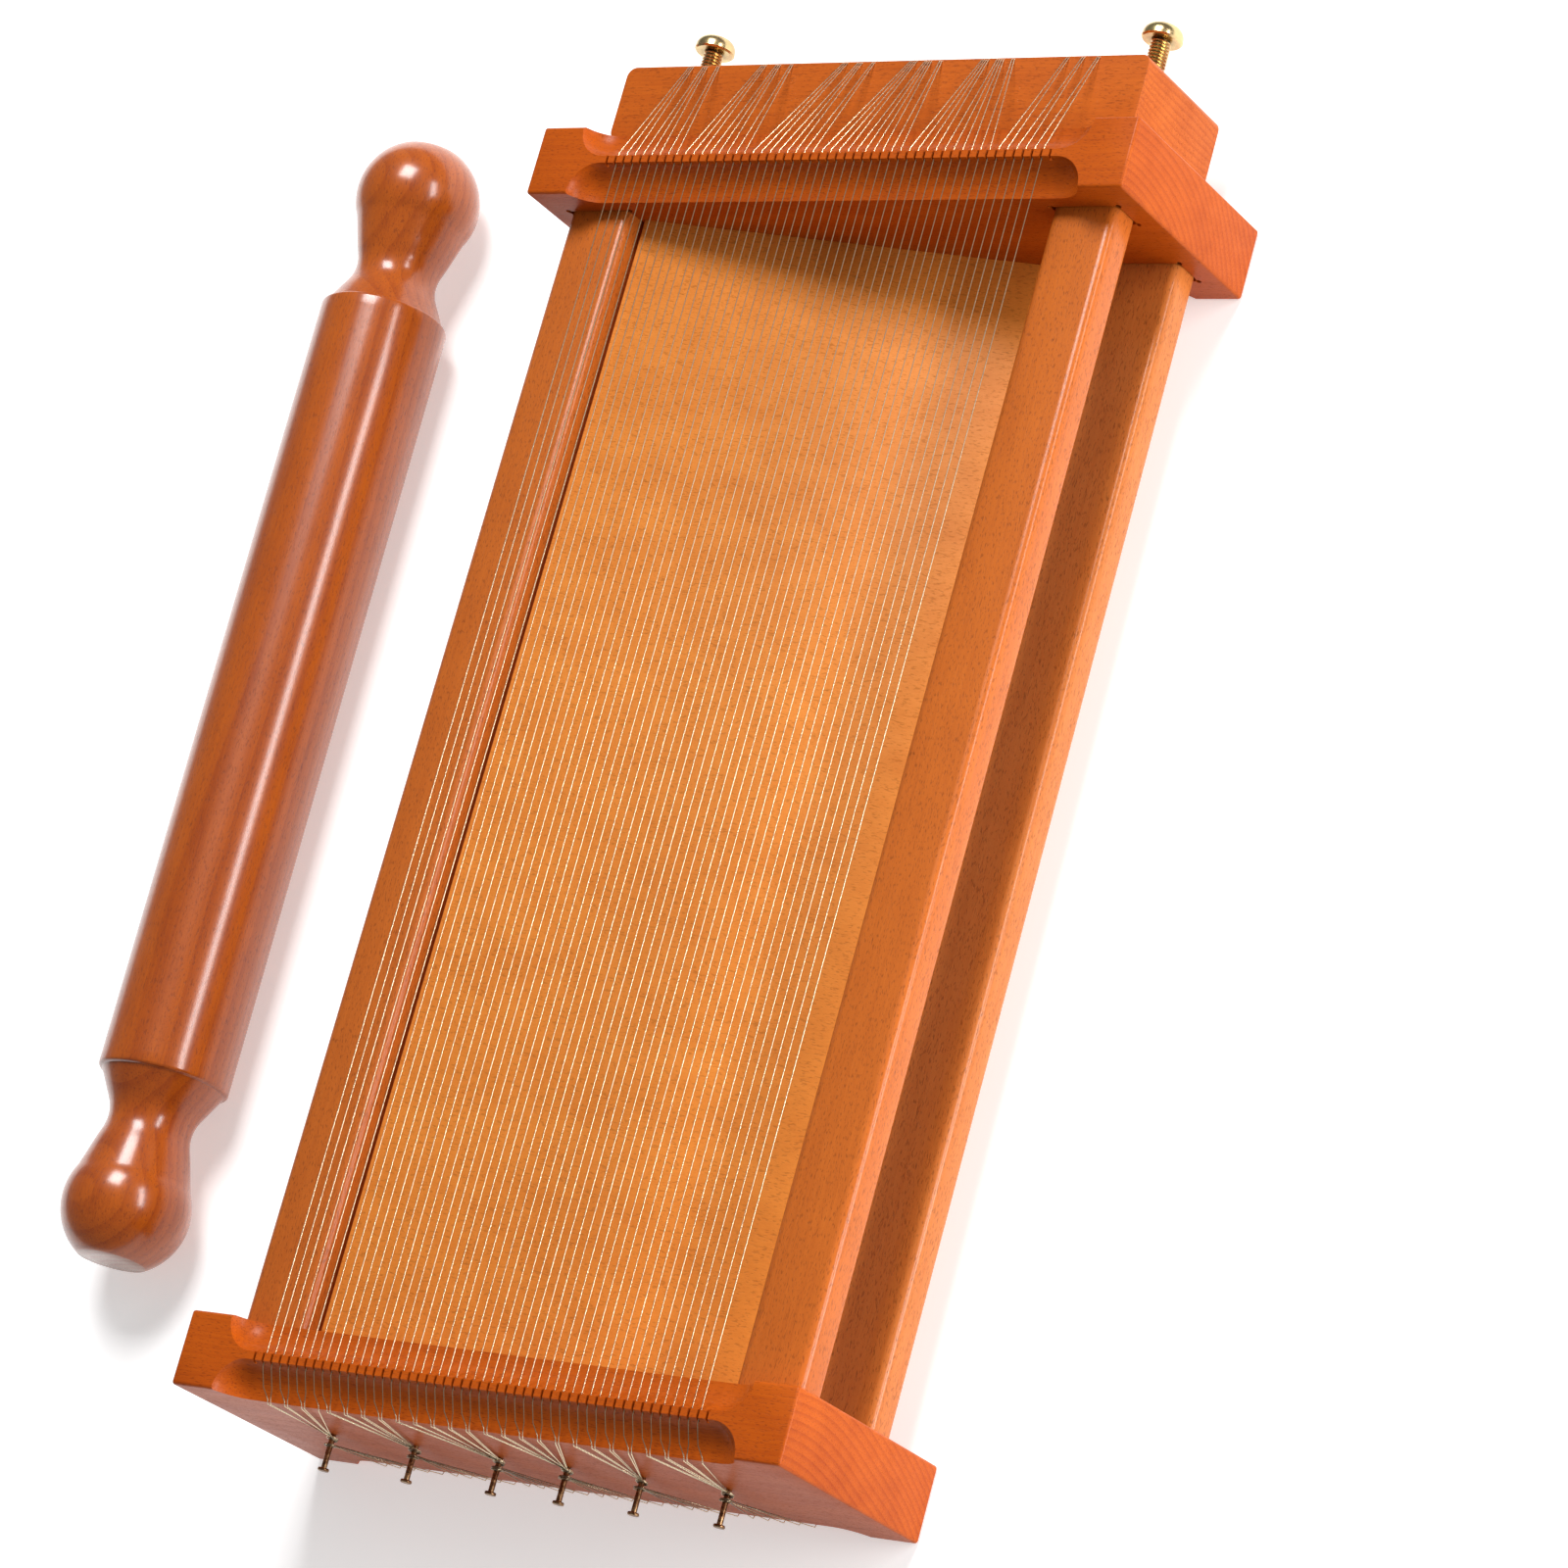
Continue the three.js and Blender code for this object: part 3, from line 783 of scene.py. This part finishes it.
def nail(name, outward, body):
    """outward is the sign along Y that the head points to."""
    low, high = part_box(name)
    x, z = (low.x + high.x) / 2, (low.z + high.z) / 2
    top, tip = (high.y, low.y) if outward > 0 else (low.y, high.y)
    rim = head_thickness / 2
    under_head = top - outward * head_thickness
    profile = [(tip, 0.1 * MM), (tip + outward * 2 * MM, nail_radius), (under_head, nail_radius)]
    profile += [(under_head, nail_head_radius - 0.1 * MM)]
    for step in range(7):
        angle = math.radians(-40 + step * 21)
        profile.append((
            top - outward * (rim - rim * math.sin(angle)),
            nail_head_radius - rim * 0.6 * (1 - math.cos(angle)),
        ))
    profile.append((top, 0.35 * MM))
    piece = add_mesh(name + "_bronze", *skin(turned_rings(profile, x, z, 20, outward)), crease=50)
    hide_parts(name)
    paint(piece, bronze, body)
    return x, z


anchor_nails = [nail(f"anchor_nail_{i}", -1, "frame") for i in range(1, 7)]
bar_nails = [nail(f"bar_nail_{i}", 1, "tension_bar") for i in range(1, 7)]
print("nails:", len(anchor_nails) + len(bar_nails))

# %% [markdown]
# ## Strings
#
# One length of steel wire goes from its nail over the block's edge, down through the cove and up to its
# kerf, along to the other ridge, and on to the bar. Only its bends need rings, because it is taut between
# them. At a nail the ends are wound round and round, so there the wire is a coil.

# %% Skin a wire along its bends
wire_radius = 0.145 * MM
wire_off = 0.37 * MM
wire_sink = 1.03 * MM
kerf_z = {1: block_height - wire_sink, -1: wire_sink}
cove_z = {1: block_height - cove_depth, -1: cove_depth}
rng = random.Random(8)


def wire(points, radius=wire_radius, sides=6):
    """Rings at each point, square to the way that bisects the two stretches that meet there."""
    points = [Vector(p) for p in points]
    rings = []
    side = None
    for i, at in enumerate(points):
        back = (at - points[i - 1]).normalized() if i else None
        ahead = (points[i + 1] - at).normalized() if i + 1 < len(points) else None
        way = ((back or ahead) + (ahead or back)).normalized()
        if side is None:
            side = way.orthogonal().normalized()
        side = (side - way * side.dot(way)).normalized()
        other = way.cross(side)
        angles = [2 * math.pi * k / sides for k in range(sides)]
        rings.append(np.array([
            at + side * (math.cos(a) * radius) + other * (math.sin(a) * radius) for a in angles
        ]))
    return rings


def coil(x, z, y0, y1, turns, radius, start, hand=1, wobble=0.12 * MM, steps=14):
    """Wire wound round a nail, from y0 to y1, a little uneven as it is by hand."""
    points = []
    for step in range(int(turns * steps) + 1):
        share = step / (turns * steps)
        angle = start + hand * share * turns * 2 * math.pi
        reach = radius + rng.uniform(-1, 1) * wobble
        points.append((x + math.cos(angle) * reach, y0 + (y1 - y0) * share, z + math.sin(angle) * reach))
    return points


# %% Wires from the nails over both blocks
edge_gap = 0.28 * MM
pairing = 0.33


def wound(nail_x, nail_z, y0, y1, x, z, turns):
    """Where a wire from (x, z) meets the coil, and the coil from there."""
    start = math.atan2(z - nail_z, x - nail_x)
    return coil(nail_x, nail_z, y0, y1, turns, rng.uniform(1.25, 1.75) * MM, start, rng.choice((-1, 1)))


def string_group(name, nail_at, places, top):
    nail_x, nail_z = nail_at
    edge_y = near_face - wire_off - edge_gap
    edge_z = cove_z[top] + top * wire_off
    wrap_y = near_face - (0.45 if top > 0 else 2.3) * MM
    tubes = []
    pitch = places[1] - places[0]
    for i, x in enumerate(places):
        turns = 1.6 if i % 4 == 0 else 0.5
        lip_x = x + (pitch * pairing if i % 2 == 0 else -pitch * pairing) if top > 0 else x
        y0 = wrap_y - rng.uniform(0, 0.5) * MM
        y1 = wrap_y - rng.uniform(0.7, 1.3) * MM
        winding = wound(nail_x, nail_z, y0, y1, x, edge_z, turns)
        tubes.append(wire([
            *reversed(winding),
            (lip_x, edge_y, edge_z),
            (lip_x, near_face + 0.6 * MM, edge_z + top * 0.7 * MM),
            (x, near_face + 3.2 * MM, edge_z + top * 2.6 * MM),
            (x, near_ridge - 2.4 * MM, kerf_z[top]),
            (x, far_ridge, kerf_z[top]),
        ]))
    piece = add_mesh(name + "_wire", *join_skins(tubes), crease=70)
    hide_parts(name)
    return paint(piece, wire_steel, "frame")


for level, groups, top in (("top", top_groups, 1), ("bottom", bottom_groups, -1)):
    for i, places in enumerate(spread(groups)):
        string_group(f"{level}_strings_{i + 1}", anchor_nails[i], places, top)
print("wires:", sum(top_groups), "and", sum(bottom_groups))

# %% Tails from the far ridge to the bar's nails
clusters = 3
cluster_gap = 5 * MM
strand_gap = 0.75 * MM
top_tail_groups = [8, 8, 8, 10, 10, 6]
bar_edge_z = {1: bar_high.z + 0.25 * MM, -1: bar_low.z - 0.25 * MM}


def tails(index):
    name = f"string_tails_{index + 1}"
    nail_x, nail_z = bar_nails[index]
    edge_y = bar_high.y + 0.3 * MM
    wrap_y = bar_high.y + 0.5 * MM
    tubes = []
    for groups, top in ((top_tail_groups, 1), (bottom_groups, -1)):
        places = spread(groups)[index]
        share = math.ceil(len(places) / clusters)
        for i, x in enumerate(places):
            cluster = i // share - 1
            bend_x = nail_x + cluster * cluster_gap + (i % share - (share - 1) / 2) * strand_gap
            y0 = wrap_y + rng.uniform(0, 0.5) * MM
            y1 = y0 + rng.uniform(0.3, 0.9) * MM
            turns = 1.8 if i % 4 == 0 else 0.6
            edge_z = bar_edge_z[top]
            winding = wound(nail_x, nail_z, y0, y1, bend_x, edge_z, turns)
            run = [(x, far_ridge + 0.3 * MM, kerf_z[top]), (x, far_ridge + 2.4 * MM, kerf_z[top])]
            edge = [(bend_x, bar_high.y - 0.7 * MM, edge_z), (bend_x, edge_y, edge_z - top * 1.1 * MM)]
            tubes.append(wire([*run, *edge, *winding]))
    piece = add_mesh(name + "_wire", *join_skins(tubes), crease=70)
    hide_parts(name)
    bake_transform(piece)
    return paint(piece, wire_steel)


for index in range(6):
    tails(index)
print("tails: 6 groups")

# %% [markdown]
# ## Rolling pin
#
# The pin is turned from one length of beech, so it is a lathe profile: a straight body with broken
# corners, a waist on each side, and a ball with a flat where the blank was held. Its lacquer is thicker
# and glossier than the frame's, and its grain runs along it.

# %% Turn the pin
pin_turn = 0.0154
pin_low, pin_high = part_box("rolling_pin")
pin_centre = (pin_low + pin_high) / 2
pin_radius = 19.1 * MM
body_half = 121 * MM
chamfer = 1.2 * MM
waist = [(4.5 * MM, 15.5 * MM), (10 * MM, 12.8 * MM), (15 * MM, 12.4 * MM), (21 * MM, 14.1 * MM)]
ball_radius, ball_out = 18.6 * MM, 38 * MM
ball_start = 16.6 * MM
flat_radius = 10.5 * MM


def through(points, steps):
    """A smooth line through points, each stretch bending as its neighbours ask."""
    ends = [points[0], *points, points[-1]]
    line = []
    for a, b, c, d in zip(ends, ends[1:], ends[2:], ends[3:]):
        for step in range(steps):
            t = step / steps
            line.append(tuple(
                0.5 * (
                    2 * q + (r - p) * t + (2 * p - 5 * q + 4 * r - w) * t * t
                    + (3 * q - p - 3 * r + w) * t ** 3
                )
                for p, q, r, w in zip(a, b, c, d)
            ))
    return line


def pin_end():
    """Points from the body's shoulder out to the flat end, as (out from the shoulder, radius)."""
    start = math.degrees(math.asin(ball_start / ball_radius))
    flat = math.degrees(math.asin(flat_radius / ball_radius))
    ball = arc(ball_out, 0, ball_radius, 180 - start, flat, 30)
    points = arc(-chamfer, pin_radius - chamfer, chamfer, 85, 35, 5)
    points += through([(0, pin_radius - chamfer), *waist, ball[0], ball[3]], 7)[:-7]
    end = ball[-1][0]
    points += ball + [
        (end + 0.35 * MM, flat_radius - 0.6 * MM),
        (end + 0.4 * MM, flat_radius * 0.5),
        (end + 0.4 * MM, 0.1 * MM),
    ]
    return points


half = pin_end()
profile = [(-body_half - out, radius) for out, radius in reversed(half)]
profile += [(y, pin_radius) for y in np.linspace(-body_half + 4 * MM, body_half - 4 * MM, 9)]
profile += [(body_half + out, radius) for out, radius in half]
pin = add_mesh("rolling_pin_wood", *skin(turned_rings(profile, 0, 0, 128)))
pin.data.transform(Matrix.Translation(pin_centre) @ Matrix.Rotation(pin_turn, 4, "Z"))
pin.data.update()
print("pin:", [round(v, 4) for v in pin.dimensions], "CAD:", [round(v, 4) for v in pin_high - pin_low])

# %% [markdown]
# ## Lacquered beech
#
# Under gloss the figure is deeper and redder, and the growth rings show as long streaks. The flat ends
# cut across the fibres: they drink stain unevenly, stay paler and greyer, and show the rings as arcs.

# %% The pin's finish
pin_beech = beech(
    "lacquered_beech", 1, (0.50, 0.108, 0.006), (0.27, 0.040, 0.002),
    (pin_centre.x + 0.012, pin_centre.z - 0.03),
    ring=3.4, ring_share=0.25, fleck=0.4, gloss=0.36, coat=1.0, coat_rough=0.2,
    end_colour=(0.36, 0.20, 0.14),
)
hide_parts("rolling_pin")
paint(pin, pin_beech, "rolling_pin")
print("finish:", pin_beech.material.name)

# %% [markdown]
# ## Floor and light
#
# A large pale floor that glows a little and a faint even sky give the soft shadows of a product table. A
# wide lamp hangs high beyond the bar, so that the tops are bright and the insides dark. A long narrow lamp
# on the right draws the streak along the pin, and a low one beside it lights the right-hand faces.

# %% Lay the floor
floor = Finish("pale_floor", Roughness=0.9)
point = floor.place()
tooth = floor.noise(point, (30, 30, 30), detail=2)
floor.feed(
    Base_Color=floor.tint(tooth, (0.83, 0.83, 0.835), (0.85, 0.85, 0.85)),
    Emission_Color=(1, 1, 1, 1),
    Emission_Strength=0.46,
)
ground = add_mesh("floor", [(-6, -6, 0), (6, -6, 0), (6, 6, 0), (-6, 6, 0)], [(0, 1, 2, 3)])
ground.location.z = -0.2 * MM
ground.data.materials.append(floor.material)
print("floor:", [round(v, 2) for v in ground.dimensions])

# %% Hang the lamps
world = bpy.data.worlds.new("sky")
bpy.context.scene.world = world
world.use_nodes = True
sky = world.node_tree.nodes["Background"]
sky.inputs["Color"].default_value = (1, 1, 1, 1)
sky.inputs["Strength"].default_value = 0.2


def lamp(name, place, width, height, power):
    data = bpy.data.lights.new(name, "AREA")
    data.shape, data.size, data.size_y, data.energy = "RECTANGLE", width, height, power
    made = bpy.data.objects.new(name, data)
    bpy.context.scene.collection.objects.link(made)
    made.location = centre + Vector(place)
    made.rotation_euler = (-Vector(place)).to_track_quat("-Z", "Y").to_euler()


lamp("far_end", (0.1, 2.0, 2.8), 1.3, 1.3, 112)
lamp("right_strip", (2.0, 0.6, 1.17), 1.5, 0.36, 28)
lamp("right_low", (2.2, -0.15, 0.34), 1.2, 0.4, 31)
bpy.context.scene.view_settings.view_transform = "Standard"
print("lamps: 3")
